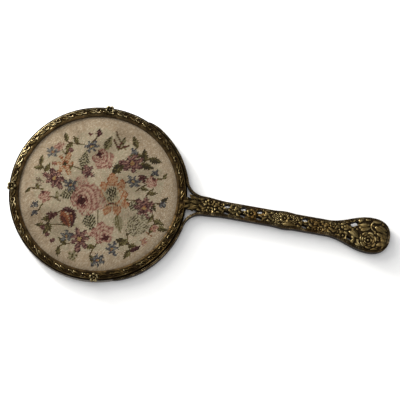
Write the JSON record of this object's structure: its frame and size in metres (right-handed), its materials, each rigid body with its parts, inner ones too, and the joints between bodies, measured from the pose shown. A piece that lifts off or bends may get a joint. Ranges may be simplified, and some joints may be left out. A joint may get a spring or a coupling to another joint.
{
  "type": "hand mirror",
  "caption": "Round dressing-table hand mirror with a padded petit-point back, an embossed brass rim and a slim pierced floral handle.",
  "frame": {"origin": "middle of the base of the bounding box, on the plane that the mirror lies on, face down", "axes": "+X along the head's axis from the far side of the head to the handle, +Z out of the needlework back"},
  "size_m": [0.303, 0.1426, 0.0122],
  "materials": {
    "antique_brass": "cast and stamped brass, dark patina in the recesses, rubbed bright on the high spots",
    "rim_lip": "smooth brass lip, dark brown patina",
    "wall_brass": "plain rolled brass sheet, tarnished satin",
    "front_brass": "stamped brass, satin, tarnished in the grooves",
    "rivet_brass": "tarnished brass wire",
    "plate_glass": "clear polished glass with a bevelled edge",
    "silvering": "silvered back, old and slightly warm",
    "felt": "thin grey-brown felt",
    "card": "pressed grey-brown card",
    "wadding": "unbleached cotton wadding",
    "petit_point": "fine tent stitch in cotton and wool on canvas, floral bouquet on a beige ground"
  },
  "bodies": {
    "root": {"front_bezel": "front_brass", "hoop": "wall_brass", "mirror_glass": "plate_glass", "mirror_silvering": "silvering", "mirror_cushion": "felt", "backing_board": "card", "mounting_board": "card", "batting": "wadding", "petit_point_panel": "petit_point", "panel_retaining_ring": "rim_lip", "back_bezel": "antique_brass", "rosette_far": "antique_brass", "rosette_left": "antique_brass", "rosette_right": "antique_brass", "rosette_pins": "rivet_brass", "rail_left": "antique_brass", "rail_right": "antique_brass", "arm_rivets": "rivet_brass", "root_scroll": "antique_brass", "handle_back_shell": "antique_brass", "handle_front_shell": "antique_brass", "handle_spacers": "rivet_brass"}
  },
  "joints": []
}
